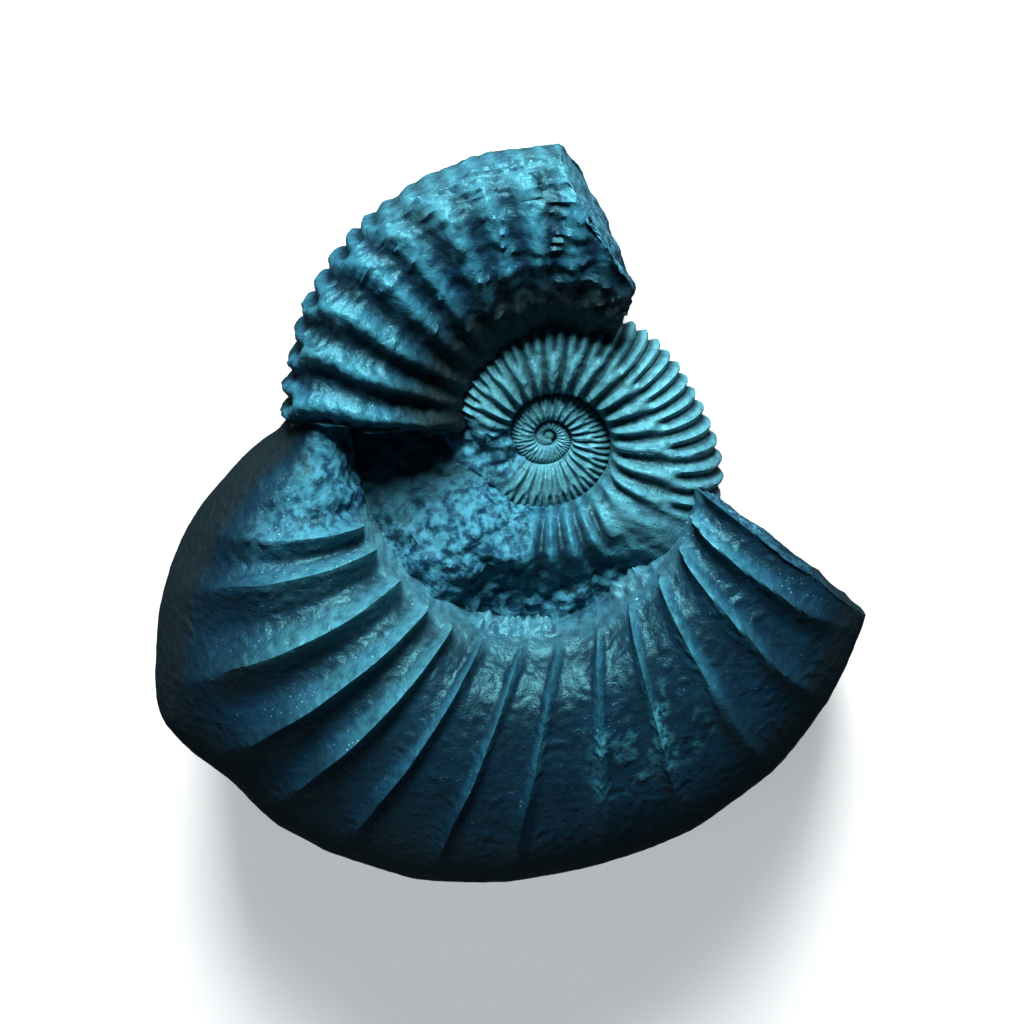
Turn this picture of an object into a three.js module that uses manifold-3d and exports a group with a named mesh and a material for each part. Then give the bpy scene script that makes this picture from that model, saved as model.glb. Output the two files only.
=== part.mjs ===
// Shaligram ammonite fossil, lying on its worn back flank. Millimetres, +Z up.
// The shell is a log-spiral coil of ribbed whorls. A stretch of the last turn is missing, and past it
// the shell goes on as a much larger fan. Everything is one stone, so it is one mesh.
import * as THREE from "three";
import { ParametricGeometry } from "three/addons/geometries/ParametricGeometry.js";
import { mergeVertices } from "three/addons/utils/BufferGeometryUtils.js";
import Module from "manifold-3d";

const wasm = await Module();
wasm.setup();

// The coil's own frame: X to the right and Y up across the flank that shows, Z along the coiling axis.
// A whorl angle is in degrees, clockwise from +Y, and grows with the shell: the outer arc ends near 0.
const COIL_START = -1290;
const COIL_OUTER = [
  // whorl angle, outer radius
  [-1800, 0.3],
  [-1350, 1.1],
  [-630, 8.4],
  [-327, 18.6],
  [-290, 19.8],
  [-250, 24.4],
  [-170, 29.5],
  [-90, 34.4],
  [-60, 36.2],
  [-30, 37.8],
  [0, 38.8],
  [35, 39.4],
];
const COIL_OVERLAP = [
  // whorl angle, inner edge as a share of the outer radius one turn before
  [-720, 0.95],
  [-240, 0.95],
  [-150, 0.8],
  [-90, 0.76],
  [0, 0.86],
];
const COIL_FATNESS = [
  // whorl angle, thickness of the whorl as a share of its width
  [-720, 0.75],
  [-400, 0.8],
  [-250, 0.85],
  [-120, 0.82],
  [-90, 0.86],
  [0, 0.9],
];
const COIL_EGG = [
  // whorl angle, how far inwards the front flank is highest, as a share of half the width
  [-300, 0.12],
  [-120, 0.1],
  [-85, -0.25],
  [-40, -0.4],
];
const RIBS_PER_TURN = [
  [-1360, 22],
  [-720, 26],
  [-420, 30],
  [-250, 28],
  [-90, 32],
];
const RIB_HEIGHT = [
  [-1350, 0.1],
  [-720, 0.5],
  [-360, 0.9],
  [-200, 1.2],
  [-90, 1.6],
  [0, 1.2],
];

// The outer arc: its rib crests by whorl angle at mid flank, and its two broken ends.
const ARC_RIBS = [-86, -75, -63, -52, -40.5, -31.5, -21, -12.5, -4, 5, 14, 23, 32, 41];
const ARC_START = -80.5;
const ARC_END = 16.5;
const ARC_END_SLANT = 1.2; // ribs by which it ends sooner on the outer edge and later on the inner one
const ARC_END_BULGE = [
  // ribs ahead of the end, share of the section left there
  [0.28, 0.9],
  [0.38, 0.56],
];
const ARC_BREAK = { bearing: 60, tilt: 0, distance: 20.2 }; // the plane that cuts its outer corner
const ARC_WEAR = [-48, -22]; // whorl angles between which its ribs begin to be worn away near the outer edge

// Where the front flank is broken away and crusted with matrix. Each breakage sets in between two whorl
// angles, and its depth is the share of the thickness that is gone.
const HOLLOW = { start: [-140, -100], depth: 0.8 }; // below the arc
const TRENCH = { start: [-235, -205], end: [-165, -140], out: [0.36, 0.6], depth: 0.5 }; // above the fan
const RUBBLE = { start: [-505, -490], end: [-440, -425], depth: 0.3 }; // on the left of the inner whorls
const CRUST_START = [-178, -160];
const CRUST_ROUGHNESS = 0.7;
const DEEPEST_BREAKAGE = 0.85;

const FAN = [
  // whorl angle, outer radius, half thickness
  [96, 45, 11.7],
  [119, 50.2, 13.1],
  [135, 54.8, 14.9],
  [152, 59.6, 16.2],
  [170, 63.4, 17.4],
  [186, 66.5, 18.5],
  [198, 68.6, 19],
  [213, 68.8, 19.2],
  [223, 66.9, 18.9],
  [232, 67.3, 18.2],
  [240, 62.4, 17],
  [250, 54.6, 14.6],
  [262, 43.6, 11.4],
  [270, 36, 9.2],
  [285, 31, 6],
];
const FAN_OVERLAP = [
  [110, 0.82],
  [150, 0.8],
  [200, 0.77],
  [250, 0.78],
];
const FAN_RIBS = [
  94, 106, 118.5, 130.3, 143, 156.8, 169, 181.7, 192.3,
  204.2, 214.3, 223.8, 234.9, 246.3, 253.5, 263, 274, 286,
];
const FAN_RIB_HEIGHT = 2.6;
const FAN_BREAK = { bearing: 38.4, tilt: -12, distance: 6.5 }; // the plane of its broken right edge

const RIB_LEAN = {
  // share of the way from the inner to the outer edge, degrees that a rib is ahead of its mid-flank angle
  coil: [[0.3, 1], [0.55, 0], [0.85, -4.3], [1, -5.5]],
  fan: [[0.2, -4.5], [0.3, -2.4], [0.45, 0], [0.6, 2.3], [1, 4]],
};

const SECTION_SQUARENESS = 2.25; // exponent of the whorl's superellipse, 2 for an ellipse
const SECTION_EGG = 0.12; // how far the widest place moves towards the inner edge
const FAN_EGG = 0.25; // and on the fan's front flank

// How the fossil lies on its back flank: the coil direction that is up, and where the middle of the coil is.
// The lowest ribs reach half a millimetre below the ground there and are worn flat at it.
const REST_UP = { bearing: 207.9, tilt: 82 };
const COIL_CENTRE = [5.3, 13.8, 14.1];

const DEGREES = Math.PI / 180;
const UP = new THREE.Vector3(0, 0, 1);
const { clamp, smoothstep: smooth } = THREE.MathUtils;
const power = (value, exponent) => Math.sign(value) * Math.abs(value) ** exponent;

// Straight lines through the rows of a table, read at x.
function at(table, x) {
  let row = 1;
  while (row < table.length - 1 && table[row][0] < x) row++;
  const [[x0, y0], [x1, y1]] = [table[row - 1], table[row]];
  return y0 + (y1 - y0) * clamp((x - x0) / (x1 - x0), 0, 1);
}

// A smooth curve through one column of a table, read at x. It never overshoots the rows.
function along(table, x, column = 1, scale = (value) => value) {
  const last = table.length - 1;
  const value = (row) => scale(table[row][column]);
  const slope = (row) => (value(row + 1) - value(row)) / (table[row + 1][0] - table[row][0]);
  const tangent = (row) => {
    if (row === 0) return slope(0);
    if (row === last) return slope(last - 1);
    const [before, after] = [slope(row - 1), slope(row)];
    return before * after > 0 ? (2 * before * after) / (before + after) : 0;
  };
  let row = 0;
  while (row < last - 1 && table[row + 1][0] < x) row++;
  const step = table[row + 1][0] - table[row][0];
  const t = clamp((x - table[row][0]) / step, 0, 1);
  return (
    (2 * t ** 3 - 3 * t ** 2 + 1) * value(row) +
    (t ** 3 - 2 * t ** 2 + t) * step * tangent(row) +
    (3 * t ** 2 - 2 * t ** 3) * value(row + 1) +
    (t ** 3 - t ** 2) * step * tangent(row + 1)
  );
}

// The direction with a bearing, clockwise from +Y, and an upward tilt.
function facing({ bearing, tilt }) {
  const level = Math.cos(tilt * DEGREES);
  return new THREE.Vector3(
    Math.sin(bearing * DEGREES) * level,
    Math.cos(bearing * DEGREES) * level,
    Math.sin(tilt * DEGREES),
  );
}

const turn = (from, to) => new THREE.Quaternion().setFromUnitVectors(from, to);
const coilOuter = (angle) => Math.exp(along(COIL_OUTER, angle, 1, Math.log));
const outness = (phi) => 1 - Math.abs(phi) / Math.PI; // 1 on a section's outer edge, 0 on its inner one

// 1 on a rib's crest and 0 halfway between two ribs. A higher sharpness makes the crest narrower.
const crest = (rib, sharpness) => (0.5 + 0.5 * Math.cos(2 * Math.PI * rib)) ** sharpness;

// Rib numbers against whorl angles, for the coil from the middle outwards and for the fan.
const coilRibAngles = [];
for (let angle = -1360; angle < ARC_RIBS[0] - 6; angle += 360 / at(RIBS_PER_TURN, angle)) {
  coilRibAngles.push(angle);
}
coilRibAngles.push(...ARC_RIBS);
const COIL_CRESTS = coilRibAngles.map((angle, rib) => [rib, angle]);
const FAN_CRESTS = FAN_RIBS.map((angle, rib) => [rib, angle]);
const coilRib = (angle) => at(COIL_CRESTS.map(([rib, crestAngle]) => [crestAngle, rib]), angle);

// A point of a whorl's section: phi is 0 on its outer edge, 90 degrees on the front, 180 on the inner edge.
// The section is a superellipse, and a rib raises it along its normal. shrink draws it in to its middle.
function sectionPoint(target, { angle, phi, outer, inner, front, back, egg, raise, shrink }) {
  const exponent = 2 / SECTION_SQUARENESS;
  const halfWidth = (outer - inner) / 2;
  const [c, s] = [power(Math.cos(phi), exponent), power(Math.sin(phi), exponent)];
  const halfThickness = s > 0 ? front : back;
  const normalR = power(Math.cos(phi), 2 - exponent) / halfWidth;
  const normalZ = power(Math.sin(phi), 2 - exponent) / Math.max(halfThickness, 0.3 * halfWidth);
  const length = Math.hypot(normalR, normalZ);
  const inwards = s > 0 ? egg : SECTION_EGG;
  const fromMiddle = halfWidth * (c - inwards * s * s) + (raise * normalR) / length;
  const r = (outer + inner) / 2 + shrink * fromMiddle;
  const z = shrink * (halfThickness * s + (raise * normalZ) / length);
  return target.set(r * Math.sin(angle * DEGREES), r * Math.cos(angle * DEGREES), z);
}

// The share of the front flank that is broken away at a whorl angle, and how far it is crusted, from 0 to 1.
function breakage(angle, out) {
  const hollow = smooth(angle, ...HOLLOW.start);
  const stretch = smooth(angle, ...TRENCH.start) * (1 - smooth(angle, ...TRENCH.end));
  const trench = stretch * smooth(out, ...TRENCH.out);
  const rubble = smooth(angle, ...RUBBLE.start) * (1 - smooth(angle, ...RUBBLE.end));
  const gone = HOLLOW.depth * hollow + TRENCH.depth * trench + RUBBLE.depth * rubble;
  const crusted = smooth(angle, ...CRUST_START) + trench + rubble;
  return [Math.min(gone, DEEPEST_BREAKAGE), Math.min(crusted, 1)];
}

// The coil. On its later whorls each rib splits in two on the way to the outer edge.
function coilPoint(target, phi, { rib: station, shrink = 1, slant = 0, broken = false }) {
  const out = outness(phi);
  const rib = station - slant * Math.cos(phi);
  const middle = at(COIL_CRESTS, rib);
  const angle = middle + clamp((middle + 360) / 270, 0, 1) * at(RIB_LEAN.coil, out);
  const outer = coilOuter(angle);
  const inner = at(COIL_OVERLAP, angle) * coilOuter(angle - 360);
  const half = (at(COIL_FATNESS, angle) * (outer - inner)) / 2;
  const onArc = smooth(angle, -100, -90);
  const split = smooth(out, 0.48 + 0.2 * onArc, 0.62 + 0.2 * onArc) * smooth(angle, -210, -180);
  const ribbing = crest(rib, 1.3) * (1 - split) + 0.8 * crest(2 * rib + 0.5, 1.2) * split;
  const worn = smooth(angle, ...ARC_WEAR);
  const fade = smooth(out, 0.1, 0.3) * (1 - 0.9 * worn * smooth(out, 0.62, 0.8));
  const ribs = at(RIB_HEIGHT, angle) * fade * (ribbing - 0.45);
  const [gone, crusted] = broken && phi > 0 ? breakage(angle, out) : [0, 0];
  const crumbs = CRUST_ROUGHNESS * Math.sin(2.1 * rib + 5 * phi) * Math.sin(1.3 * rib - 7 * phi);
  return sectionPoint(target, {
    angle,
    phi,
    outer,
    inner,
    front: half * (1 - gone),
    back: half,
    egg: at(COIL_EGG, angle),
    raise: ribs + (crumbs - ribs) * crusted,
    shrink,
  });
}

// The fan. Its ribs stay single and fade towards a smooth outer edge.
function fanPoint(target, phi, { rib, shrink = 1 }) {
  const out = outness(phi);
  const angle = at(FAN_CRESTS, rib) + at(RIB_LEAN.fan, out);
  const half = along(FAN, angle, 2);
  const fade = smooth(out, 0.16, 0.32) * (1 - 0.93 * smooth(out, 0.55, 0.85));
  return sectionPoint(target, {
    angle,
    phi,
    outer: along(FAN, angle, 1),
    inner: at(FAN_OVERLAP, angle) * coilOuter(angle - 360),
    front: half,
    back: half,
    egg: FAN_EGG,
    raise: FAN_RIB_HEIGHT * fade * (crest(rib, 1.3) - 0.4),
    shrink,
  });
}

// Even steps over the part of a section that can show, and one long step along its hidden inner edge.
function phiOfStep(step, steps) {
  const s = (2 * step) / steps - 1;
  const side = Math.abs(s);
  const turned = side < 0.9 ? 0.8 * side : 0.72 + 2.8 * (side - 0.9);
  return Math.sign(s) * turned * Math.PI;
}

// A closed tube through a section at each station. Each end closes on the middle of its last section.
function tube(point, stations, around) {
  const last = stations.length - 1;
  const surface = new ParametricGeometry(
    (u, v, target) => {
      const row = Math.round(v * (last + 2)) - 1;
      const station = stations[clamp(row, 0, last)];
      const phi = phiOfStep(Math.round(u * around) % around, around);
      return row === clamp(row, 0, last)
        ? point(target, phi, station)
        : point(target, 0, { ...station, slant: 0, shrink: 0 });
    },
    around,
    last + 2,
  );
  return solid(surface);
}

// A closed three.js geometry as a solid.
function solid(shape) {
  shape.deleteAttribute("normal");
  shape.deleteAttribute("uv");
  const merged = mergeVertices(shape, 1e-4);
  const corners = merged.index.array;
  const triVerts = [];
  for (let i = 0; i < corners.length; i += 3) {
    const [a, b, c] = corners.slice(i, i + 3);
    if (a !== b && b !== c && c !== a) triVerts.push(a, b, c);
  }
  const mesh = new wasm.Mesh({
    numProp: 3,
    vertProperties: merged.attributes.position.array,
    triVerts: new Uint32Array(triVerts),
  });
  return new wasm.Manifold(mesh);
}

// Everything past the plane that faces a direction at a distance from the middle of the coil.
function beyond(plane) {
  const block = new THREE.BoxGeometry(200, 200, 100).translate(0, 0, 50 + plane.distance);
  return solid(block.applyQuaternion(turn(UP, facing(plane))));
}

// Evenly spaced stations from one rib to another.
function stationsBetween(from, to, perRib, options = {}) {
  const count = Math.round((to - from) * perRib);
  return Array.from({ length: count + 1 }, (_, i) => ({ rib: from + ((to - from) * i) / count, ...options }));
}

// The coil up to the arc, in stretches of half a turn, since a tube may not run into itself.
// Each one ends tucked into the next.
function innerWhorls() {
  const stretches = [
    // whorl angle it starts at, stations per rib, steps around
    [COIL_START, 1, 8],
    [-1050, 1, 8],
    [-810, 2, 8],
    [-630, 3, 8],
    [-450, 3, 12],
    [-270, 3, 12],
    [ARC_START],
  ];
  return stretches.slice(0, -1).map(([start, perRib, around], i) => {
    const [from, to] = [start, stretches[i + 1][0]].map((angle) => Math.round(2 * coilRib(angle)) / 2);
    const tucked = { rib: to + 0.4, shrink: 0.8, broken: true };
    return tube(coilPoint, [...stationsBetween(from, to, perRib, { broken: true }), tucked], around);
  });
}

// The arc, with a slanted and bulging broken end.
function outerArc() {
  const end = coilRib(ARC_END);
  const stations = stationsBetween(coilRib(ARC_START), end, 4);
  for (const station of stations) station.slant = ARC_END_SLANT * smooth(station.rib, end - 3, end);
  for (const [ahead, shrink] of ARC_END_BULGE) {
    stations.push({ rib: end + ahead, slant: ARC_END_SLANT * shrink, shrink });
  }
  return tube(coilPoint, stations, 16).subtract(beyond(ARC_BREAK));
}

function fan() {
  const whole = tube(fanPoint, stationsBetween(0.25, FAN_RIBS.length - 1, 4), 16);
  return whole.subtract(beyond(FAN_BREAK));
}

// The first tiny chamber, which closes the middle of the coil.
function firstChamber() {
  return solid(new THREE.SphereGeometry(0.75, 8, 6).scale(1, 1, 0.5));
}

function layDown(shape) {
  const placed = new THREE.Matrix4()
    .makeTranslation(...COIL_CENTRE)
    .multiply(new THREE.Matrix4().makeRotationFromQuaternion(turn(facing(REST_UP), UP)));
  const ground = new THREE.BoxGeometry(300, 300, 50).translate(0, 0, -25);
  return shape.transform(placed.elements).subtract(solid(ground));
}

const joined = [firstChamber(), outerArc(), fan()].reduce(
  (shape, piece) => shape.add(piece),
  innerWhorls().reduce((shape, piece) => shape.add(piece)),
);
const { vertProperties, triVerts } = layDown(joined).getMesh();
const fossilShape = new THREE.BufferGeometry()
  .setAttribute("position", new THREE.BufferAttribute(vertProperties, 3))
  .setIndex(new THREE.BufferAttribute(triVerts, 1));
fossilShape.computeVertexNormals();

const stone = new THREE.MeshStandardMaterial({ color: 0x1f4f63, roughness: 0.45, metalness: 0 });
const fossil = new THREE.Mesh(fossilShape, stone);
fossil.name = "ammonite_fossil";

const group = new THREE.Group();
group.add(fossil);

export default group;
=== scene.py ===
"""Shaligram ammonite fossil: one dark stone with a ribbed coil, a broken outer arc and a large fan.

The stone is worked out as tubes with a superellipse section carried along a log-spiral, in the coil's own
frame in millimetres, joined into one closed mesh and laid on the ground as the frame's solid lies.
"""

import itertools
import math

import bpy
import numpy as np
from mathutils import Matrix, Vector


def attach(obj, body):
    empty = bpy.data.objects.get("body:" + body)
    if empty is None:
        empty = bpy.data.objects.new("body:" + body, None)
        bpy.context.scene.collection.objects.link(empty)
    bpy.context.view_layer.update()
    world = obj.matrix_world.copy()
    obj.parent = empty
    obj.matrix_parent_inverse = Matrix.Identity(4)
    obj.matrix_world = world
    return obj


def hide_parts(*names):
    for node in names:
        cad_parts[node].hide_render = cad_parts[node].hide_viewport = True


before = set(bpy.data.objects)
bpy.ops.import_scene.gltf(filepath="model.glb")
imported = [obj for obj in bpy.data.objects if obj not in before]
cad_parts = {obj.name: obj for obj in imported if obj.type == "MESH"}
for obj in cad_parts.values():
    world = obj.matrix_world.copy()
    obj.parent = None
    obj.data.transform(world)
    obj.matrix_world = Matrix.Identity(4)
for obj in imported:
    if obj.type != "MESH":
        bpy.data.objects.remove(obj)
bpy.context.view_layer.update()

bl_info = {
    "name": "Shaligram ammonite fossil",
    "version": (1, 0, 0),
    "blender": (4, 5, 0),
    "location": "View3D > Sidebar > Fossil",
    "description": "Builds the ammonite's stone and the plain studio round it",
    "category": "Mesh",
}

NODE = "ammonite_fossil"
MM = 0.001
TURN = 2 * math.pi

# Whorl angle in degrees against outer radius in millimetres. A whorl angle runs clockwise from +Y.
COIL_START = -1290
COIL_OUTER = (
    (-1800, 0.3), (-1350, 1.1), (-630, 8.4), (-327, 18.6), (-290, 19.8), (-250, 24.4), (-170, 29.5),
    (-90, 34.4), (-60, 36.2), (-30, 37.8), (0, 38.8), (35, 39.4),
)
# Inner edge of a whorl as a share of the outer radius one turn before.
COIL_OVERLAP = ((-720, 0.95), (-240, 0.95), (-150, 0.8), (-90, 0.76), (0, 0.86))
# Thickness of a whorl as a share of its width.
COIL_FATNESS = (
    (-1350, 0.9), (-780, 0.95), (-640, 0.78), (-400, 0.8), (-250, 0.85), (-120, 0.82), (-90, 0.86), (0, 0.9),
)
# How far the highest line of the front flank lies inwards, as a share of half the width.
COIL_EGG = ((-300, 0.12), (-120, 0.1), (-85, -0.25), (-40, -0.4))
RIBS_PER_TURN = ((-1360, 22), (-720, 26), (-420, 30), (-250, 28), (-90, 32))
COIL_RIB_HEIGHT = (
    (-1350, 0.1), (-760, 0.22), (-640, 0.6), (-360, 1.0), (-200, 1.3), (-90, 1.8), (-20, 1.4), (10, 1.0),
)

# The outer arc: its rib crests at mid flank, and its two broken ends.
ARC_RIBS = (-86, -75, -63, -52, -40.5, -31.5, -21, -12.5, -4, 5, 14, 23, 32, 41)
ARC_START = -80.5
ARC_END = 16.5
ARC_END_SLANT = 1.2
ARC_END_BULGE = 0.4
ARC_BREAK = (60, 0, 20.2)  # bearing and upward tilt of the way its broken outer corner faces, and its distance

# Where the front flank is broken away and crusted with matrix: a deep hollow below the arc, a trench along the
# outer edge above the fan, and rubble on the left of the inner whorls. Whorl angles, or ways outwards for the
# trench's side, between which each sets in, and the share of the thickness that is gone.
HOLLOW, HOLLOW_DEPTH = (-140, -100), 0.8
TRENCH_START, TRENCH_END, TRENCH_OUT, TRENCH_DEPTH = (-235, -205), (-165, -140), (0.36, 0.6), 0.5
RUBBLE_START, RUBBLE_END, RUBBLE_DEPTH = (-505, -490), (-440, -425), 0.3

# Fan: whorl angle, outer radius, half thickness.
FAN = (
    (96, 45, 11.7), (119, 50.2, 13.1), (135, 54.8, 14.9), (152, 59.6, 16.2), (170, 63.4, 17.4),
    (186, 66.5, 18.5), (198, 68.6, 19), (213, 68.8, 19.2), (223, 66.9, 18.9), (232, 67.3, 18.2),
    (240, 62.4, 17), (250, 54.6, 14.6), (262, 43.6, 11.4), (270, 36, 9.2), (285, 31, 6),
)
FAN_OVERLAP = ((110, 0.82), (150, 0.82), (170, 0.87), (200, 0.86), (225, 0.78), (250, 0.78))
FAN_RIBS = (
    94, 106, 118.5, 130.3, 143, 156.8, 169, 181.7, 192.3,
    204.2, 214.3, 223.8, 234.9, 246.3, 253.5, 263, 274, 286,
)
FAN_RIB_HEIGHT = (
    (106, 2.2), (130, 2.6), (156, 2.4), (181, 2.3), (204, 2.8), (224, 3.4), (247, 3.4), (255, 1.8), (262, 0.3),
)
FAN_RIB_SHARPNESS = ((106, 2.2), (146, 4.0), (158, 8.0), (200, 8.0), (214, 3.0), (235, 1.7))
FAN_BREAK = (38.4, -12, 6.5)  # bearing and upward tilt of the way the broken edge faces, and its distance

# Degrees that a rib is ahead of its mid-flank angle, against the way from the inner to the outer edge.
COIL_LEAN = ((0.3, 1), (0.55, 0), (0.85, -4.3), (1, -5.5))
FAN_LEAN = ((0.2, -4.5), (0.3, -2.4), (0.45, 0), (0.6, 2.3), (1, 4))

SECTION_SQUARENESS = 2.25
BACK_EGG = 0.12
FAN_EGG = 0.25

# How the stone lies: bearing and tilt of the coil direction that is up, and the middle of the coil.
REST_UP = (207.9, 82)
COIL_CENTRE = (5.3, 13.8, 14.1)

# The camera in the coil's frame: where it stands, and its tilt off the coil's axis.
CAMERA_PLACE = Matrix.Translation((-4.86, 101.316, 278.155))
CAMERA_TILT = 22

# Vertex attributes that the finish reads, each from 0 to 1: granular matrix, smooth river polish, height on a
# rib that also lightens the crests as partly wear and partly a painted highlight, remnants of thin shell, the
# paler inner whorls with painted light where the fan faces the lamp, fine pale grains, and painted shade in the
# deep places and on the parts that turn from the lamp, darkest on the brown-black outer rims.
ZONES = ("crust", "worn", "crest", "flake", "pale", "grains", "black")


def linear(code):
    """A #RRGGBB colour as it is seen, in the linear values that a shader takes."""
    seen = [int(code[i : i + 2], 16) / 255 for i in (1, 3, 5)]
    return tuple(c / 12.92 if c <= 0.04045 else ((c + 0.055) / 1.055) ** 2.4 for c in seen)


def at(table, x):
    """Straight lines through a table of pairs, read at x."""
    places, values = np.array(table, float).T
    return np.interp(x, places, values)


def along(table, x, column=1):
    """A cubic through one column of a table, read at x. Its slope at a row is the harmonic mean of the slopes
    on both sides, or zero where they differ in sign, so it never overshoots the rows."""
    table = np.array(table, float)
    places, values = table[:, 0], table[:, column]
    step = np.diff(places)
    slope = np.diff(values) / step
    same_sign = slope[:-1] * slope[1:] > 0
    total = np.where(same_sign, slope[:-1] + slope[1:], 1)
    inner = np.where(same_sign, 2 * slope[:-1] * slope[1:] / total, 0)
    tangent = np.concatenate([slope[:1], inner, slope[-1:]])
    row = np.clip(np.searchsorted(places, x, side="right") - 1, 0, len(step) - 1)
    t = np.clip((x - places[row]) / step[row], 0, 1)
    return (
        (2 * t**3 - 3 * t**2 + 1) * values[row]
        + (t**3 - 2 * t**2 + t) * step[row] * tangent[row]
        + (3 * t**2 - 2 * t**3) * values[row + 1]
        + (t**3 - t**2) * step[row] * tangent[row + 1]
    )


def smooth(x, low, high):
    """Rises from 0 at low to 1 at high as 3t² - 2t³."""
    t = np.clip((x - low) / (high - low), 0, 1)
    return t * t * (3 - 2 * t)


def power(value, exponent):
    """The size of a value to an exponent, with the value's own sign."""
    return np.sign(value) * np.abs(value) ** exponent


def grain(points, size, seed=0):
    """Gradient noise, about -1 to 1: each corner of a cell of this size has a fixed random slope, and the eight
    slopes times the way to the point are blended with 6t⁵ - 15t⁴ + 10t³ along each side."""
    slopes = np.random.default_rng(seed).normal(size=(256, 3))
    slopes *= 1.6 / np.linalg.norm(slopes, axis=1, keepdims=True)
    scaled = np.asarray(points) / size + 31.7
    cell = np.floor(scaled).astype(np.int64)
    within = scaled - cell
    blend = within**3 * (within * (within * 6 - 15) + 10)
    total = np.zeros(scaled.shape[:-1])
    for corner in itertools.product((0, 1), repeat=3):
        corner = np.array(corner)
        key = (cell + corner) @ np.array([73856093, 19349663, 83492791])
        slope = slopes[(key ^ (key >> 11)) & 255]
        weight = np.prod(np.where(corner == 1, blend, 1 - blend), axis=-1)
        total += weight * np.sum(slope * (within - corner), axis=-1)
    return total


def layers(points, size, octaves, seed=0):
    """Gradient noise summed at halving sizes and heights."""
    return sum(grain(points, size / 2**i, seed + i) / 2**i for i in range(octaves))


def creases(points, size, octaves, seed=0):
    """Sharp ridges where gradient noise crosses zero: one minus twice its size, cubed, summed in layers."""
    noises = (np.abs(grain(points, size / 2**i, seed + i)) for i in range(octaves))
    return sum((1 - np.minimum(2 * noise, 1)) ** 3 / 2**i for i, noise in enumerate(noises))


def lumps(points, size, seed=0):
    """Cells round one random point each: returns how near the closest point is, from 0 to 1, and its number."""
    random = np.random.default_rng(seed).random((256, 4))
    scaled = np.asarray(points) / size + 31.7
    cell = np.floor(scaled).astype(np.int64)
    nearest = np.full(scaled.shape[:-1], 9.0)
    number = np.zeros(scaled.shape[:-1])
    for offset in itertools.product((-1, 0, 1), repeat=3):
        neighbour = cell + np.array(offset)
        key = neighbour @ np.array([73856093, 19349663, 83492791])
        draw = random[(key ^ (key >> 11)) & 255]
        distance = np.linalg.norm(neighbour + draw[..., :3] - scaled, axis=-1)
        closer = distance < nearest
        nearest = np.where(closer, distance, nearest)
        number = np.where(closer, draw[..., 3], number)
    return np.clip(1 - nearest, 0, 1), number


def coil_outer(angle):
    """Outer radius of the coil: the logarithm of the radius runs smoothly through the table."""
    table = [(place, math.log(radius)) for place, radius in COIL_OUTER]
    return np.exp(along(table, angle))


def coil_rib_angles():
    """Whorl angles of the rib crests, from the middle outwards: each is one rib spacing past the last."""
    angles, angle = [], -1360.0
    while angle < ARC_RIBS[0] - 6:
        angles.append(angle)
        angle += 360 / float(at(RIBS_PER_TURN, angle))
    return angles + list(ARC_RIBS)


COIL_CRESTS = tuple(enumerate(coil_rib_angles()))
FAN_CRESTS = tuple(enumerate(FAN_RIBS))


def coil_rib(angle):
    """Rib number at a whorl angle, a whole number on a crest."""
    return float(at([(crest, rib) for rib, crest in COIL_CRESTS], angle))


def facing(bearing, tilt):
    """The direction with a bearing in degrees clockwise from +Y and an upward tilt."""
    bearing, tilt = math.radians(bearing), math.radians(tilt)
    return Vector((math.sin(bearing) * math.cos(tilt), math.cos(bearing) * math.cos(tilt), math.sin(tilt)))


def rest_matrix():
    """Turns the coil's frame so that the resting direction is up, and moves its middle into place, in
    millimetres."""
    turned = facing(*REST_UP).rotation_difference(Vector((0, 0, 1))).to_matrix().to_4x4()
    return Matrix.Translation(COIL_CENTRE) @ turned


def round_section(front, back, front_shown=0.76):
    """Angles round a section from its outer edge over the front to the inner edge and back behind: even steps
    where the flank can show, which is a share of the way, and a few along the hidden inner edge."""

    def flank(steps, shown):
        even = np.linspace(0, shown * math.pi, steps, endpoint=False)
        hidden = np.linspace(shown * math.pi, math.pi, 5, endpoint=False)
        return np.concatenate([even, hidden])

    return np.concatenate([flank(front, front_shown), [math.pi], -flank(back, 0.76)[:0:-1]])


def section(angle, phi, outer, inner, front, back, egg):
    """Superellipse across a whorl. With c and s the cosine and sine of phi to the power 2 over the squareness,
    the radius is the middle radius plus half the width times (c - egg s²), and the height is half the
    thickness times s. Egg is the front flank's. Returns the points and, on the axis plane, their middle."""
    c, s = (power(f(phi), 2 / SECTION_SQUARENESS) for f in (np.cos, np.sin))
    middle = (outer + inner) / 2
    radius = middle + (outer - inner) / 2 * (c - np.where(s > 0, egg, BACK_EGG) * s * s)
    height = np.where(s > 0, front, back) * s
    turned = np.radians(angle)
    way = np.stack([np.sin(turned), np.cos(turned), np.zeros_like(turned)], -1)
    up = np.array([0, 0, 1])
    return way * radius[..., None] + up * height[..., None], way * (middle + 0 * radius)[..., None]


def outwards(points):
    """Unit normals of a grid that closes on itself along its second side."""
    along_rows = np.gradient(points, axis=0)
    across = np.roll(points, -1, 1) - np.roll(points, 1, 1)
    normal = np.cross(across, along_rows)
    return normal / np.maximum(np.linalg.norm(normal, axis=-1, keepdims=True), 1e-9)


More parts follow.
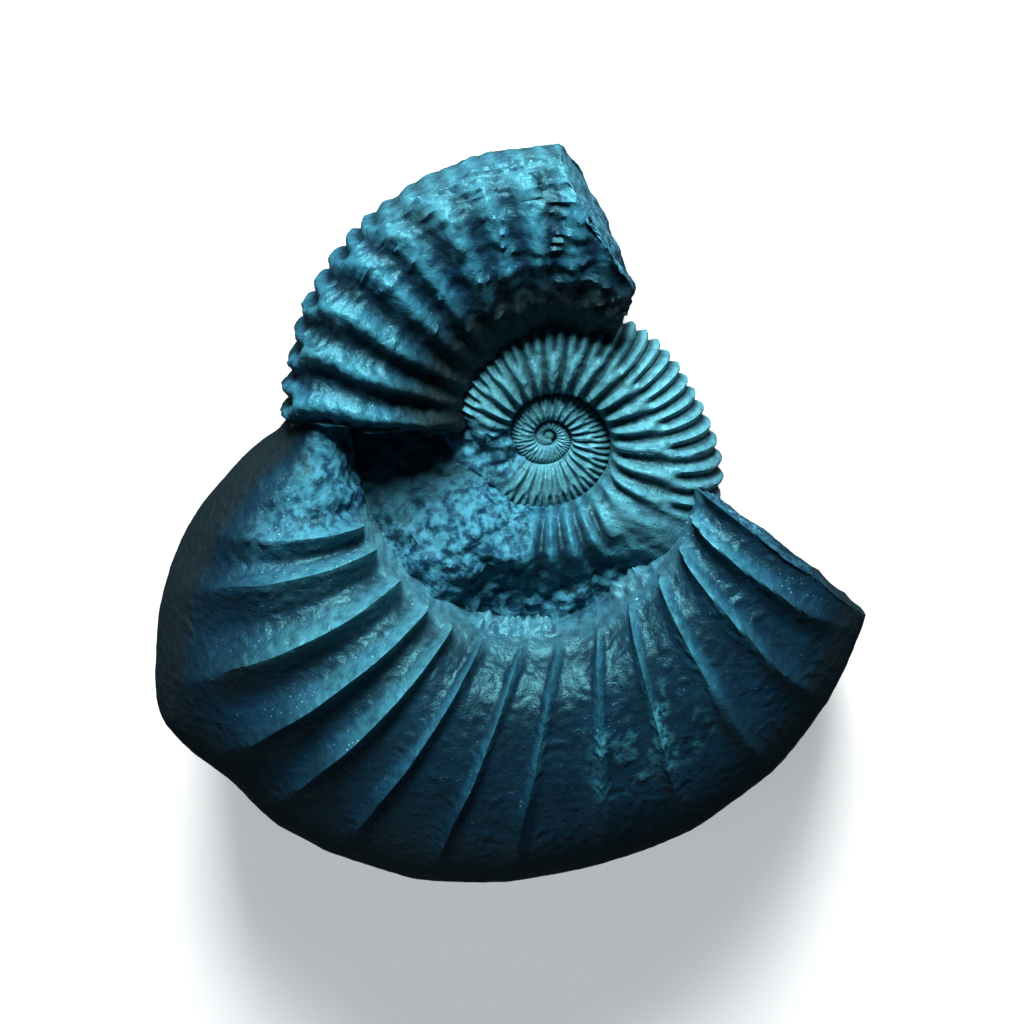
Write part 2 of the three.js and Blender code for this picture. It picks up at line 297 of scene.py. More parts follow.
def coil_surface(shape, rib, phi, shrink, broken):
    """The coil's section at each rib number, which leans with the ribs, raised along its normal by the ribs,
    creases and crust. Shrink draws a section in to its middle for the broken ends."""
    out = 1 - np.abs(phi) / math.pi
    middle_angle = at(COIL_CRESTS, rib)
    angle = middle_angle + np.clip((middle_angle + 360) / 270, 0, 1) * at(COIL_LEAN, out)
    outer = coil_outer(angle)
    inner = at(COIL_OVERLAP, angle) * coil_outer(angle - 360)
    half = at(COIL_FATNESS, angle) * (outer - inner) / 2
    hollow, trench, rubble = np.zeros((3, *angle.shape))
    if broken:
        hollow = smooth(angle, *HOLLOW)
        trench = smooth(out, *TRENCH_OUT) * smooth(angle, *TRENCH_START) * (1 - smooth(angle, *TRENCH_END))
        rubble = smooth(angle, *RUBBLE_START) * (1 - smooth(angle, *RUBBLE_END))
    gone = np.minimum(HOLLOW_DEPTH * hollow + TRENCH_DEPTH * trench + RUBBLE_DEPTH * rubble, 0.85)
    points, middle = section(angle, phi, outer, inner, half * (1 - gone), half, at(COIL_EGG, angle))
    points = middle + shrink[..., None] * (points - middle)

    on_arc = smooth(angle, -100, -90)
    near_end = smooth(angle, -48, -22)
    split = smooth(out, 0.48 + 0.2 * on_arc, 0.62 + 0.2 * on_arc)
    single = 0.5 + 0.5 * np.cos(TURN * rib)
    double = 0.5 + 0.5 * np.cos(TURN * (2 * rib + 0.5))
    ribbing = single**1.3 * (1 - split) + 0.8 * double * split
    whole = smooth(shrink, 0.97, 1.0) * np.ones_like(ribbing)
    crusted = 0 * ribbing
    if broken:
        crusted = np.clip(smooth(angle, -178, -160) + trench + rubble, 0, 1) * (phi > 0)
    crusted = np.maximum(crusted, 0.8 * (1 - whole))

    # Flat places on the surface in millimetres: along the whorl and round its section.
    spread = np.stack([np.radians(angle) * (outer + inner) / 2, phi * (outer - inner) / 2, 0 * ribbing], -1)
    wrinkle = 1.2 * creases(spread * np.array([0.35, 1.0, 1]), 2.2, 3, seed=5) - 0.4
    wrinkle = wrinkle + 0.9 * layers(spread * np.array([0.6, 1.0, 1]), 5.2, 3, seed=9)
    wrinkled = on_arc * whole * (0.55 + 0.25 * near_end) * (1 - 0.5 * smooth(out, 0.78, 0.9))
    near, _ = lumps(points, 1.9, seed=3)
    grit = 1.0 * near + 0.9 * layers(points, 3.4, 3, seed=11)

    # A worn wedge at the lower right of the coil, where the ribs are all but gone, wider outwards.
    wedge = smooth(np.abs(angle + 226), 6 + 26 * out, 2 + 16 * out) * smooth(out, 0.18, 0.3)
    fade = smooth(out, 0.1, 0.3) * (1 - 0.9 * near_end * smooth(out, 0.62, 0.8)) * (1 - 0.35 * near_end)
    fade = fade * (1 - 0.85 * wedge)
    ribs = shape.coil_ribs * at(COIL_RIB_HEIGHT, angle) * fade * (ribbing - 0.45) * whole
    height = ribs * (1 - crusted) + shape.wrinkles * 1000 * wrinkled * wrinkle
    height = height + shape.crust * 1000 * crusted * (grit - 0.3)
    height = height + 0.9 * (1 - whole) * layers(points, 5.5, 3, seed=41)
    height = height + 0.45 * on_arc * layers(points, 7, 2, seed=51)
    height = height + 0.12 * layers(points, 1.2, 2, seed=21) * smooth(angle, -500, -300)

    # Painted shade on the arc's inner flank, which turns from the lamp, and a darker outer rim on the arc's
    # left; painted shade in the rib valleys of the inner whorls; a painted shadow in the hollow below the arc.
    # All go into the dark zone.
    rim = 0.6 * smooth(out, 0.88, 0.95) * smooth(angle, -55, -75)
    dark_rim_and_painted_shade = on_arc * np.maximum(rim, smooth(out, 0.45, 0.24))
    painted_valley_shade = 0.45 * fade * whole * (1 - crusted) * smooth(angle, -430, -340) * smooth(ribbing, 0.4, 0.1)
    painted_hollow_shadow = 0.5 * hollow * (phi > 0)
    # Paler inner whorls; a painted highlight at the top of the arc's end, where it faces the lamp; and the worn
    # wedge, paler.
    pale_middle = smooth(angle, -170, -300) * (1 - 0.8 * crusted)
    painted_highlight_and_worn_wedge = 0.35 * near_end * smooth(out, 0.45, 0.7) + 0.6 * wedge * (1 - crusted)
    # The crest zone lightens the rib crests, partly wear and partly a painted highlight.
    zones = {
        "crust": crusted,
        "worn": near_end * smooth(out, 0.7, 0.85) * whole,
        "crest": np.clip(ribbing * whole * (1 - crusted), 0, 1),
        "flake": 0,
        "pale": np.maximum(pale_middle, painted_highlight_and_worn_wedge),
        "grains": 0.3 * (1 - on_arc),
        "black": np.maximum(np.maximum(dark_rim_and_painted_shade, painted_valley_shade), painted_hollow_shadow),
    }
    return points + outwards(points) * height[..., None], zones


def broken_corner(points, zones):
    """Pushes what lies past the plane of the arc's broken outer corner back onto it, with a rough face."""
    faces = np.array(facing(*ARC_BREAK[:2]))
    past = np.maximum(points @ faces - ARC_BREAK[2] - 0.7 * layers(points, 4.5, 3, seed=61), 0)
    crust = np.maximum(zones["crust"], 0.8 * smooth(past, 0, 0.3))
    return points - past[..., None] * faces, {**zones, "crust": crust}


def fan_surface(shape, rib, phi, shrink):
    """The fan's section at each rib number, raised along its normal by ribs with a sharp crest and a hollow
    between: one minus twice the distance to the crest, to the power of the sharpness. They fade towards the
    outer edge. Shrink draws a section in to its middle for the broken edge."""
    out = 1 - np.abs(phi) / math.pi
    angle = at(FAN_CRESTS, rib) + at(FAN_LEAN, out)
    outer, half = (along(FAN, angle, column) for column in (1, 2))
    inner = at(FAN_OVERLAP, angle) * coil_outer(angle - 360)
    points, _ = section(angle, phi, outer, inner, half, half, FAN_EGG)
    middle = points.mean(axis=1, keepdims=True)
    points = middle + shrink[..., None] * (points - middle)

    from_crest = np.sqrt((rib - np.round(rib)) ** 2 + 0.03**2)
    ridge = np.clip(1 - 2 * from_crest, 0, 1) ** at(FAN_RIB_SHARPNESS, angle)
    fade = smooth(out, 0.15, 0.22) * (1 - 0.95 * smooth(out, 0.55, 0.85))
    whole = smooth(shrink, 0.97, 1.0)
    slope = smooth(angle, 248, 256) * (1 - smooth(out, 0.56, 0.68)) * (phi > 0)
    slope = np.maximum(slope, 0.7 * (1 - whole))
    # The seam with the coil is a raised rim, set with pebbles in two stretches.
    rim = np.exp(-(((out - 0.1) / 0.03) ** 2)) * (phi > 0)
    pebbled = np.maximum(smooth(np.abs(angle - 150), 9, 5), smooth(np.abs(angle - 190), 15, 10))

    # Remnants of shell: a band across the ribs at the lower right and a patch at the right.
    _, number = lumps(points, 2.6, seed=8)
    shell = smooth(angle, 146, 152) * smooth(angle, 176, 168) * smooth(out, 0.42, 0.47) * smooth(out, 0.64, 0.58)
    shell = np.maximum(shell, smooth(np.hypot(angle - 134, 80 * (out - 0.5)), 5, 3)) * (phi > 0)
    flake = smooth(number, 0.55, 0.6) * shell
    pebble, _ = lumps(points, 1.3, seed=13)
    # Painted light: paler by the seam, on the rib crests of the inner half and on the inner half at the left,
    # where the fan faces the lamp; with the seam's pebbles below, it goes into the pale zone.
    lit = 0.3 * smooth(out, 0.26, 0.18) + 0.2 * smooth(out, 0.45, 0.3) * smooth(ridge, 0.3, 0.8)
    lit = (lit + 0.25 * smooth(out, 0.62, 0.45) * smooth(angle, 200, 215)) * (1 - slope)

    height = shape.fan_ribs * at(FAN_RIB_HEIGHT, angle) * fade * (ridge - 0.3) * whole
    height = height + 0.35 * layers(points, 14, 2, seed=31)
    height = height + 0.16 * creases(points, 2.4, 3, seed=71) * (1 - 0.6 * smooth(out, 0.45, 0.7))
    height = height + shape.crust * 1000 * slope * (0.8 * layers(points, 4.5, 3, seed=17) + 0.5 * pebble)
    height = height + 0.12 * flake + rim * (0.2 + (0.4 + 2.2 * pebbled) * pebble)
    # The crest zone fades on the outer part, where the fan turns from the lamp: partly a painted highlight. The
    # dark zone is painted shade on that outer part and in the rib valleys, darkest on the brown-black outer rim.
    zones = {
        "crust": np.clip(0.75 * slope + 0.35 * rim, 0, 1),
        "worn": (1 - slope) * (0.5 + 0.5 * smooth(out, 0.3, 0.7)),
        "crest": ridge * fade * whole * (1 - 0.7 * smooth(out, 0.42, 0.62)),
        "flake": flake,
        "pale": np.maximum(lit, 0.8 * rim * pebbled),
        "grains": 1 - 0.6 * smooth(out, 0.5, 0.7),
        "black": np.maximum(
            0.35 * smooth(out, 0.4, 0.65) + 0.65 * smooth(out, 0.66, 0.82),
            0.4 * fade * whole * (1 - slope) * smooth(ridge, 0.35, 0.05),
        ),
    }
    return points + outwards(points) * height[..., None], zones


def closed_tube(name, points, zones):
    """A mesh of rings of points, closed by a point at each end, with its faces turned outwards. Each zone is
    kept one too high, so that corners that come in later stand out as zero."""
    rows, around = points.shape[:2]
    places = np.concatenate([points.reshape(-1, 3), points[[0, -1]].mean(axis=1)])
    corners = np.arange(rows * around).reshape(rows, around)
    beside = np.roll(corners, -1, axis=1)
    first, last = rows * around, rows * around + 1
    quads = np.stack([corners[:-1], corners[1:], beside[1:], beside[:-1]], -1).reshape(-1, 4)
    caps = np.concatenate([
        np.stack([corners[0], beside[0], np.full(around, first)], -1),
        np.stack([beside[-1], corners[-1], np.full(around, last)], -1),
    ])
    a, b, c = places[np.concatenate([quads[:, [0, 1, 2]], quads[:, [0, 2, 3]], caps])].transpose(1, 0, 2)
    if np.sum(a * np.cross(b, c)) < 0:
        quads, caps = quads[:, ::-1], caps[:, ::-1]

    mesh = bpy.data.meshes.new(name)
    mesh.from_pydata(places, [], [*quads.tolist(), *caps.tolist()])
    for zone in ZONES:
        values = np.broadcast_to(zones[zone], (rows, around))
        values = np.concatenate([values.ravel(), values[[0, -1]].mean(axis=1)])
        mesh.attributes.new(zone, "FLOAT", "POINT").data.foreach_set("value", values + 1)
    return mesh


def even_rows(start, end, per_rib, around):
    """Rib numbers of evenly spaced rings, and their full size."""
    count = round((end - start) * per_rib)
    rib = np.linspace(start, end, count + 1)[:, None] + np.zeros(around)
    return rib, np.ones(count + 1)


def coil_tubes(shape):
    """The coil up to the arc, in stretches of half a turn, since a tube may not run into itself.
    Each one ends tucked into the next."""
    stretches = (  # whorl angle it starts at, rings per rib, steps on the front and on the back flank
        (COIL_START, 8, 14, 6), (-1050, 8, 16, 6),
        (-810, 10, 24, 8), (-630, 10, 28, 8),
        (-450, 12, 44, 14), (-270, 13, 50, 16),
    )
    starts = [round(2 * coil_rib(stretch[0])) / 2 for stretch in stretches] + [coil_rib(ARC_START)]
    for number, (_, per_rib, front, back) in enumerate(stretches):
        phi = round_section(front, back)
        rib, shrink = even_rows(starts[number], starts[number + 1], per_rib, len(phi))
        rib = np.concatenate([rib, rib[-1:] + 0.4])
        shrink = np.append(shrink, 0.8)
        yield closed_tube(f"whorls_{number}", *coil_surface(shape, rib, phi, shrink[:, None], broken=True))


def arc_tube(shape):
    """The outer arc. Its first ring is drawn in flat for the broken step, and its last rings are slanted, pulled
    back on the outer edge by the cosine of phi, and drawn in while they run ahead for the bulging break."""
    phi = round_section(68, 22)
    start, end = coil_rib(ARC_START), coil_rib(ARC_END)
    rib, shrink = even_rows(start, end, 17, len(phi))
    slant = ARC_END_SLANT * smooth(rib, end - 3, end)
    inset = np.linspace(0.05, 0.97, 16)
    ahead = np.linspace(0.06, 0.98, 22)
    rib = np.concatenate([
        np.full((len(inset), len(phi)), start),
        rib - slant * np.cos(phi),
        end + ARC_END_BULGE * ahead[:, None] ** 0.7 - ARC_END_SLANT * (1 - ahead[:, None] ** 3) * np.cos(phi),
    ])
    shrink = np.concatenate([inset, shrink, (1 - ahead**3) ** 0.8])
    surface = coil_surface(shape, rib, phi, shrink[:, None], broken=False)
    return closed_tube("arc", *broken_corner(*surface))


def fan_tube(shape):
    """The fan. Its first ring lies in the plane of the broken edge: the rib number where the surface crosses it
    is found for each phi by halving, and the rings behind it ease back to even ones."""
    phi = round_section(108, 26, 0.93)
    facing_out, distance = np.array(facing(*FAN_BREAK[:2])), FAN_BREAK[2]
    low, high = np.full(len(phi), 0.3), np.full(len(phi), 4.0)
    for _ in range(30):
        halfway = (low + high) / 2
        angle = at(FAN_CRESTS, halfway) + at(FAN_LEAN, 1 - np.abs(phi) / math.pi)
        outer, half = (along(FAN, angle, column) for column in (1, 2))
        inner = at(FAN_OVERLAP, angle) * coil_outer(angle - 360)
        beyond = section(angle, phi, outer, inner, half, half, FAN_EGG)[0] @ facing_out > distance
        low, high = np.where(beyond, halfway, low), np.where(beyond, high, halfway)
    begin = low.min()
    rib, shrink = even_rows(begin, len(FAN_RIBS) - 1.0, 16, len(phi))
    rib = rib + (low - begin) * (1 - smooth(rib, begin, begin + 3.5))
    inset = np.linspace(0.04, 0.985, 26)
    rib = np.concatenate([np.repeat(rib[:1], len(inset), axis=0), rib])
    shrink = np.concatenate([inset, shrink])
    return closed_tube("fan", *fan_surface(shape, rib, phi, shrink[:, None]))


def first_chamber():
    """A flattened ball that closes the middle of the coil: the radius times sin v cos u, sin v sin u and
    0.5 cos v."""
    u, v = np.meshgrid(np.linspace(0, TURN, 24, endpoint=False), np.linspace(0.1, math.pi - 0.1, 10))
    radius = 0.75
    points = radius * np.stack([np.sin(v) * np.cos(u), np.sin(v) * np.sin(u), 0.5 * np.cos(v)], -1)
    return closed_tube("first_chamber", points, {zone: float(zone == "pale") for zone in ZONES})


class FossilShape(bpy.types.PropertyGroup):
    """How high the stone's ribs and roughness stand"""

    coil_ribs: bpy.props.FloatProperty(
        name="Coil ribs", description="Height of the coil's ribs, against the photographed stone's",
        default=1.0, min=0, max=1.5, subtype="FACTOR",
    )
    fan_ribs: bpy.props.FloatProperty(
        name="Fan ribs", description="Height of the fan's ribs, against the photographed stone's",
        default=1.0, min=0, max=1.5, subtype="FACTOR",
    )
    wrinkles: bpy.props.FloatProperty(
        name="Wrinkles", description="Height of the crinkles on the outer arc",
        default=0.0006, min=0, max=0.001, unit="LENGTH", precision=5,
    )
    crust: bpy.props.FloatProperty(
        name="Crust", description="Height of the grains where the rock is broken or crusted",
        default=0.0009, min=0, max=0.0015, unit="LENGTH", precision=5,
    )


class FossilFinish(bpy.types.PropertyGroup):
    """Colours of the stone"""

    # Also laid on as painted shade where the dark zone is high.
    deep: bpy.props.FloatVectorProperty(
        name="Deep blue", description="Darkest patches of the polished stone",
        default=linear("#05131E"), size=3, min=0, max=1, subtype="COLOR",
    )
    teal: bpy.props.FloatVectorProperty(
        name="Teal", description="Main colour of the polished stone",
        default=linear("#0B2C43"), size=3, min=0, max=1, subtype="COLOR",
    )
    # Laid on the rib crests as partly wear and partly a painted highlight, and on the shell remnants.
    light: bpy.props.FloatVectorProperty(
        name="Light teal", description="Worn rib crests",
        default=linear("#2F7283"), size=3, min=0, max=1, subtype="COLOR",
    )
    # Also laid on as painted light on the fan's seam side, its seam pebbles and the top of the arc's end.
    pale: bpy.props.FloatVectorProperty(
        name="Pale green-blue", description="The inner whorls, which are worn the most",
        default=linear("#4D8A92"), size=3, min=0, max=1, subtype="COLOR",
    )
    matrix: bpy.props.FloatVectorProperty(
        name="Matrix", description="Grains of the rock that crusts the breaks",
        default=linear("#2C6578"), size=3, min=0, max=1, subtype="COLOR",
    )
    # Also laid on as the darkest painted shade, where the dark zone is highest.
    dirt_and_shade: bpy.props.FloatVectorProperty(
        name="Dirt", description="Brown-black in the pores and on the outer rims",
        default=linear("#0D1216"), size=3, min=0, max=1, subtype="COLOR",
    )
    speck: bpy.props.FloatVectorProperty(
        name="Specks", description="Fine pale grains",
        default=linear("#6699A3"), size=3, min=0, max=1, subtype="COLOR",
    )


class StudioSettings(bpy.types.PropertyGroup):
    """Floor, lights and camera"""

    floor_colour: bpy.props.FloatVectorProperty(
        name="Floor", description="Colour of the floor",
        default=linear("#DADCDC"), size=3, min=0, max=1, subtype="COLOR",
    )
    key_power: bpy.props.FloatProperty(
        name="Key light", description="Power of the large lamp at the top of the picture",
        default=20.0, min=0, max=50, unit="POWER",
    )
    fill_power: bpy.props.FloatProperty(
        name="Fill light", description="Power of the weak lamp at the bottom of the picture",
        default=0.25, min=0, max=50, unit="POWER",
    )
    floor_power: bpy.props.FloatProperty(
        name="Floor light", description="Power of the wide lamp overhead that lights only the floor",
        default=14.0, min=0, max=200, unit="POWER",
    )
    room_light: bpy.props.FloatProperty(
        name="Room light", description="Strength of the light from all round",
        default=0.09, min=0, max=2, subtype="FACTOR",
    )
    room_colour: bpy.props.FloatVectorProperty(
        name="Room colour", description="Colour of the light from all round, a cool daylight",
        default=linear("#8FB8D8"), size=3, min=0, max=1, subtype="COLOR",
    )
    lens: bpy.props.FloatProperty(
        name="Lens", description="Focal length of the camera in millimetres",
        default=78.125, min=20, max=200, unit="CAMERA",
    )


def joined(name, meshes):
    """One closed mesh from tubes that run into each other. Where two surfaces cross, the new corners have no
    attributes yet, so they take the mean of the corners next to them."""
    tubes = [bpy.data.objects.new(mesh.name, mesh) for mesh in meshes]
    others = bpy.data.collections.new(f"{name}_tubes")
    for tube in tubes:
        bpy.context.scene.collection.objects.link(tube)
    for tube in tubes[1:]:
        others.objects.link(tube)
    union = tubes[0].modifiers.new("union", "BOOLEAN")
    union.operation, union.operand_type, union.solver = "UNION", "COLLECTION", "MANIFOLD"
    union.collection = others
    evaluated = tubes[0].evaluated_get(bpy.context.evaluated_depsgraph_get())
    stone = bpy.data.meshes.new_from_object(evaluated)
    stone.name = name
    for tube, mesh in zip(tubes, meshes):
        bpy.data.objects.remove(tube)
        bpy.data.meshes.remove(mesh)
    bpy.data.collections.remove(others)
    if not stone.polygons:
        raise RuntimeError("The tubes of the stone could not be joined")

    edges = read(stone.edges, "vertices", 2, np.int64)
    for zone in ZONES:
        data = stone.attributes[zone].data
        values = read(data, "value", 1, np.float64).ravel()
        for _ in range(4):
            known = values >= 0.5
            total, count = np.zeros(len(values)), np.zeros(len(values))
            for here, there in (edges.T, edges.T[::-1]):
                np.add.at(total, here, np.where(known, values, 0)[there])
                np.add.at(count, here, known[there])
            values = np.where(known, values, total / np.maximum(count, 1))
        data.foreach_set("value", np.clip(values - 1, 0, 1))
    return stone


def read(data, field, width, kind):
    """A field of a mesh's data as rows of this width."""
    values = np.empty(len(data) * width, kind)
    data.foreach_get(field, values)
    return values.reshape(-1, width)


def lay_down(mesh):
    """Turns the stone onto its back flank, wears flat what would reach below the ground, and goes to metres."""
    turn = np.array(rest_matrix())
    places = read(mesh.vertices, "co", 3, np.float64)
    places = places @ turn[:3, :3].T + turn[:3, 3]
    places[:, 2] = np.maximum(places[:, 2], 0)
    mesh.vertices.foreach_set("co", (places * MM).ravel())
    mesh.update()


def add(tree, kind, inputs=None, **settings):
    """A shader node with its settings, and its inputs linked to sockets or set to values."""
    node = tree.nodes.new(kind)
    for name, value in settings.items():
        setattr(node, name, value)
    for name, value in (inputs or {}).items():
        if isinstance(value, bpy.types.NodeSocket):
            tree.links.new(value, node.inputs[name])
        else:
            node.inputs[name].default_value = value
    return node


def calculate(tree, operation, first, second):
    """Two values put together by a math node, kept between 0 and 1."""
    return add(tree, "ShaderNodeMath", {0: first, 1: second}, operation=operation, use_clamp=True).outputs[0]


def blend(tree, amount, under, over):
    """Colour under, with over laid on it by this amount."""
    under, over = (tuple(c) + (1,) if not isinstance(c, bpy.types.NodeSocket) else c for c in (under, over))
    return add(tree, "ShaderNodeMix", {0: amount, 6: under, 7: over}, data_type="RGBA").outputs[2]


def mapped(tree, value, low, high, start=0.0, end=1.0):
    """Start where value is low or less, end where it is high or more, smooth between."""
    inputs = {"Value": value, "From Min": low, "From Max": high, "To Min": start, "To Max": end}
    return add(tree, "ShaderNodeMapRange", inputs, interpolation_type="SMOOTHSTEP").outputs[0]


def cloud(tree, place, size, detail=3.0, kind="FBM"):
    """Noise with features of about this size in metres."""
    inputs = {"Vector": place, "Scale": 1 / size, "Detail": detail, "Roughness": 0.6}
    return add(tree, "ShaderNodeTexNoise", inputs, noise_type=kind).outputs["Fac"]


def dots(tree, place, size):
    """Distance to random points about this far apart, in shares of that."""
    inputs = {"Vector": place, "Scale": 1 / size, "Randomness": 1.0}
    return add(tree, "ShaderNodeTexVoronoi", inputs).outputs["Distance"]


def raised(tree, height, distance, normal=None):
    """The normal over a height that spans this distance in metres, on top of another normal."""
    inputs = {"Height": height, "Distance": distance, "Strength": 1.0}
    if normal:
        inputs["Normal"] = normal
    return add(tree, "ShaderNodeBump", inputs).outputs["Normal"]


def stone_material(finish):
    """Dark blue river stone that has filled and replaced the shell. The eye knows it by a satin polish with a
    blue sheen, broken up by fine pits, by grains of dull matrix in the breaks, and by paler crests, partly worn
    and partly a painted highlight. Painted light is laid on where the stone faces the lamp, and painted shade
    where it turns away and in its valleys and hollows."""
    material = bpy.data.materials.new("satin_blue_fossil_stone")
    material.use_nodes = True
    tree = material.node_tree
    tree.nodes.clear()
    place = add(tree, "ShaderNodeTexCoord").outputs["Object"]
    crust, worn, crest, flake, pale, grains, black = (
        add(tree, "ShaderNodeAttribute", attribute_name=zone).outputs["Fac"] for zone in ZONES
    )

    patches = cloud(tree, place, 7 * MM, 4)
    mottle = cloud(tree, place, 1.3 * MM, 3)
    fine = cloud(tree, place, 0.35 * MM, 2)
    crinkle = cloud(tree, place, 2 * MM, 4, "RIDGED_MULTIFRACTAL")
    grain_places = dots(tree, place, 0.8 * MM)
    pits = dots(tree, place, 1.5 * MM)

    colour = blend(tree, mapped(tree, patches, 0.35, 0.6, 0.25, 1.0), finish.deep, finish.teal)
    # Rib crests made lighter: partly wear, partly a painted highlight.
    crest_wear_and_highlight = calculate(tree, "MULTIPLY", crest, mapped(tree, mottle, 0.25, 0.6, 0.3, 1.0))
    colour = blend(tree, calculate(tree, "MULTIPLY", crest_wear_and_highlight, 0.6), colour, finish.light)
    # The pale zone: paler inner whorls and worn wedge, with painted light on the fan's seam side, its seam
    # pebbles and the top of the arc's end.
    pale_tone_and_painted_light = calculate(tree, "MULTIPLY", pale, mapped(tree, mottle, 0.3, 0.6, 0.25, 0.5))
    colour = blend(tree, pale_tone_and_painted_light, colour, finish.pale)
    uneven_places = mapped(tree, mottle, 0.4, 0.6)
    colour = blend(tree, calculate(tree, "MULTIPLY", crust, uneven_places), colour, finish.matrix)
    colour = blend(tree, calculate(tree, "MULTIPLY", flake, uneven_places), colour, finish.light)
    specks = calculate(tree, "MULTIPLY", mapped(tree, grain_places, 0.2, 0.1), mapped(tree, patches, 0.5, 0.62))
    colour = blend(tree, calculate(tree, "MULTIPLY", specks, grains), colour, finish.speck)
    # Painted shade: the deep blue, then the darkest colour, laid on where the dark zone is high, in valleys,
    # hollows and on the parts that turn from the lamp; the outer rims are brown-black.
    colour = blend(tree, mapped(tree, black, 0.0, 0.5, 0.0, 0.85), colour, finish.deep)
    colour = blend(tree, mapped(tree, black, 0.5, 1.0), colour, finish.dirt_and_shade)
    pores = calculate(tree, "MULTIPLY", mapped(tree, pits, 0.2, 0.08), mapped(tree, mottle, 0.45, 0.6))
    colour = blend(tree, calculate(tree, "MULTIPLY", pores, 0.4), colour, finish.dirt_and_shade)

    rough = mapped(tree, mottle, 0.3, 0.7, 0.36, 0.5)
    rough = calculate(tree, "ADD", rough, calculate(tree, "MULTIPLY", crust, 0.2))
    rough = calculate(tree, "SUBTRACT", rough, calculate(tree, "MULTIPLY", worn, 0.06))
    rough = calculate(tree, "ADD", rough, calculate(tree, "MULTIPLY", black, 0.2))

    uneven = calculate(tree, "SUBTRACT", mottle, calculate(tree, "MULTIPLY", pores, 0.3))
    normal = raised(tree, uneven, 0.22 * MM)
    normal = raised(tree, crinkle, 0.38 * MM, normal)
    normal = raised(tree, fine, 0.07 * MM, normal)

    surface = add(tree, "ShaderNodeBsdfPrincipled", {
        "Base Color": colour, "Roughness": rough, "Normal": normal,
        "IOR": 1.9, "Specular Tint": (*finish.pale, 1),
    })
    add(tree, "ShaderNodeOutputMaterial", {"Surface": surface.outputs[0]})
    return material


class BuildStone(bpy.types.Operator):
    """Builds the fossil's stone with its finish"""

    bl_idname = "fossil.build_stone"
    bl_label = "Build the stone"

    def execute(self, context):
        shape = context.scene.fossil_shape
        mesh = joined(NODE, [fan_tube(shape), arc_tube(shape), *coil_tubes(shape), first_chamber()])
        lay_down(mesh)
        mesh.shade_smooth()
        mesh.set_sharp_from_angle(angle=math.radians(55))
        mesh.materials.clear()
        mesh.materials.append(stone_material(context.scene.fossil_finish))
        stone = bpy.data.objects.new("stone", mesh)
        context.scene.collection.objects.link(stone)
        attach(stone, "root")
        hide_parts(NODE)
        return {"FINISHED"}


def lamp(name, bearing, tilt, distance, size, power, target):
    """A square area lamp that shines on the target from a bearing and an upward tilt. Returns its object."""
    light = bpy.data.lights.new(name, "AREA")
    light.size, light.energy = size, power
    lamp_object = bpy.data.objects.new(name, light)
    way = facing(bearing, tilt)
    lamp_object.location = target + way * distance
    lamp_object.rotation_euler = way.to_track_quat("Z", "Y").to_euler()
    bpy.context.scene.collection.objects.link(lamp_object)
    return lamp_object


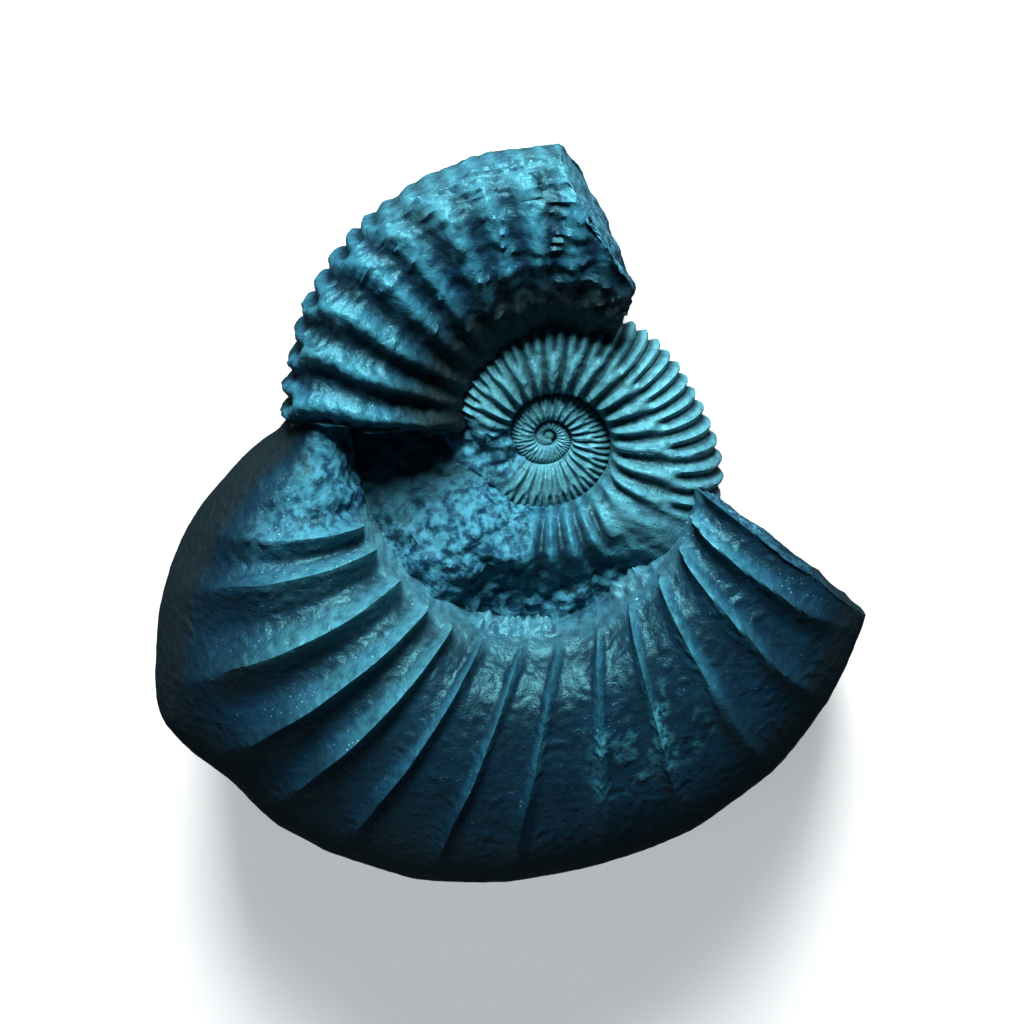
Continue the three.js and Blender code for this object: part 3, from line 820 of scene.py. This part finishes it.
class SetStage(bpy.types.Operator):
    """Sets the pale floor, the soft lamps and the camera at the photograph's viewing angle"""

    bl_idname = "fossil.set_stage"
    bl_label = "Set the stage"

    def execute(self, context):
        scene, studio = context.scene, context.scene.fossil_studio
        floor = bpy.data.meshes.new("floor")
        floor.from_pydata([(-3, -3, 0), (3, -3, 0), (3, 3, 0), (-3, 3, 0)], [], [(0, 1, 2, 3)])
        paper = bpy.data.materials.new("pale_paper_floor")
        paper.use_nodes = True
        paper.node_tree.nodes.clear()
        matt = add(paper.node_tree, "ShaderNodeBsdfPrincipled",
                   {"Base Color": (*studio.floor_colour, 1), "Roughness": 0.9})
        add(paper.node_tree, "ShaderNodeOutputMaterial", {"Surface": matt.outputs[0]})
        floor.materials.append(paper)
        floor_object = bpy.data.objects.new("floor", floor)
        scene.collection.objects.link(floor_object)
        floor_object.visible_glossy = False

        middle = Vector((0, 0, 0.015))
        lamp("key_light", 0, 22, 0.7, 0.22, studio.key_power, middle)
        lamp("fill_light", 190, 35, 0.8, 0.6, studio.fill_power, middle)
        floor_only = bpy.data.collections.new("floor_only")
        floor_only.objects.link(floor_object)
        overhead = lamp("floor_light", 0, 88, 1.2, 1.6, studio.floor_power, middle)
        overhead.light_linking.receiver_collection = floor_only

        world = bpy.data.worlds.new("room")
        world.use_nodes = True
        world.node_tree.nodes.clear()
        room = add(world.node_tree, "ShaderNodeBackground",
                   {"Color": (*studio.room_colour, 1), "Strength": studio.room_light})
        add(world.node_tree, "ShaderNodeOutputWorld", {"Surface": room.outputs[0]})
        scene.world = world
        scene.view_settings.view_transform = "Standard"

        # The camera stands 22 degrees off the coil's axis, on the side of the outer arc.
        photographed = rest_matrix() @ CAMERA_PLACE @ Matrix.Rotation(math.radians(-CAMERA_TILT), 4, "X")
        place, turned, _ = photographed.decompose()
        camera = bpy.data.objects.new("camera", bpy.data.cameras.new("camera"))
        camera.location = place * MM
        camera.rotation_mode = "QUATERNION"
        camera.rotation_quaternion = turned
        camera.data.lens, camera.data.sensor_width = studio.lens, 36
        camera.data.clip_start, camera.data.clip_end = 0.01, 10
        scene.collection.objects.link(camera)
        scene.camera = camera
        return {"FINISHED"}


class FossilPanel(bpy.types.Panel):
    """Lists the groups of values with the step that uses them"""

    bl_label = "Fossil"
    bl_idname = "VIEW3D_PT_fossil"
    bl_space_type = "VIEW_3D"
    bl_region_type = "UI"
    bl_category = "Fossil"

    def draw(self, context):
        scene = context.scene
        for group, operator in (
            (scene.fossil_shape, BuildStone), (scene.fossil_finish, None), (scene.fossil_studio, SetStage),
        ):
            box = self.layout.box()
            for field in group.bl_rna.properties:
                if field.identifier not in ("name", "rna_type"):
                    box.prop(group, field.identifier)
            if operator:
                box.operator(operator.bl_idname)


CLASSES = (FossilShape, FossilFinish, StudioSettings, BuildStone, SetStage, FossilPanel)


def register():
    for one in CLASSES:
        bpy.utils.register_class(one)
    bpy.types.Scene.fossil_shape = bpy.props.PointerProperty(type=FossilShape)
    bpy.types.Scene.fossil_finish = bpy.props.PointerProperty(type=FossilFinish)
    bpy.types.Scene.fossil_studio = bpy.props.PointerProperty(type=StudioSettings)


def unregister():
    del bpy.types.Scene.fossil_studio, bpy.types.Scene.fossil_finish, bpy.types.Scene.fossil_shape
    for one in reversed(CLASSES):
        bpy.utils.unregister_class(one)


def main():
    register()
    bpy.ops.fossil.build_stone()
    bpy.ops.fossil.set_stage()


if __name__ == "__main__":
    main()
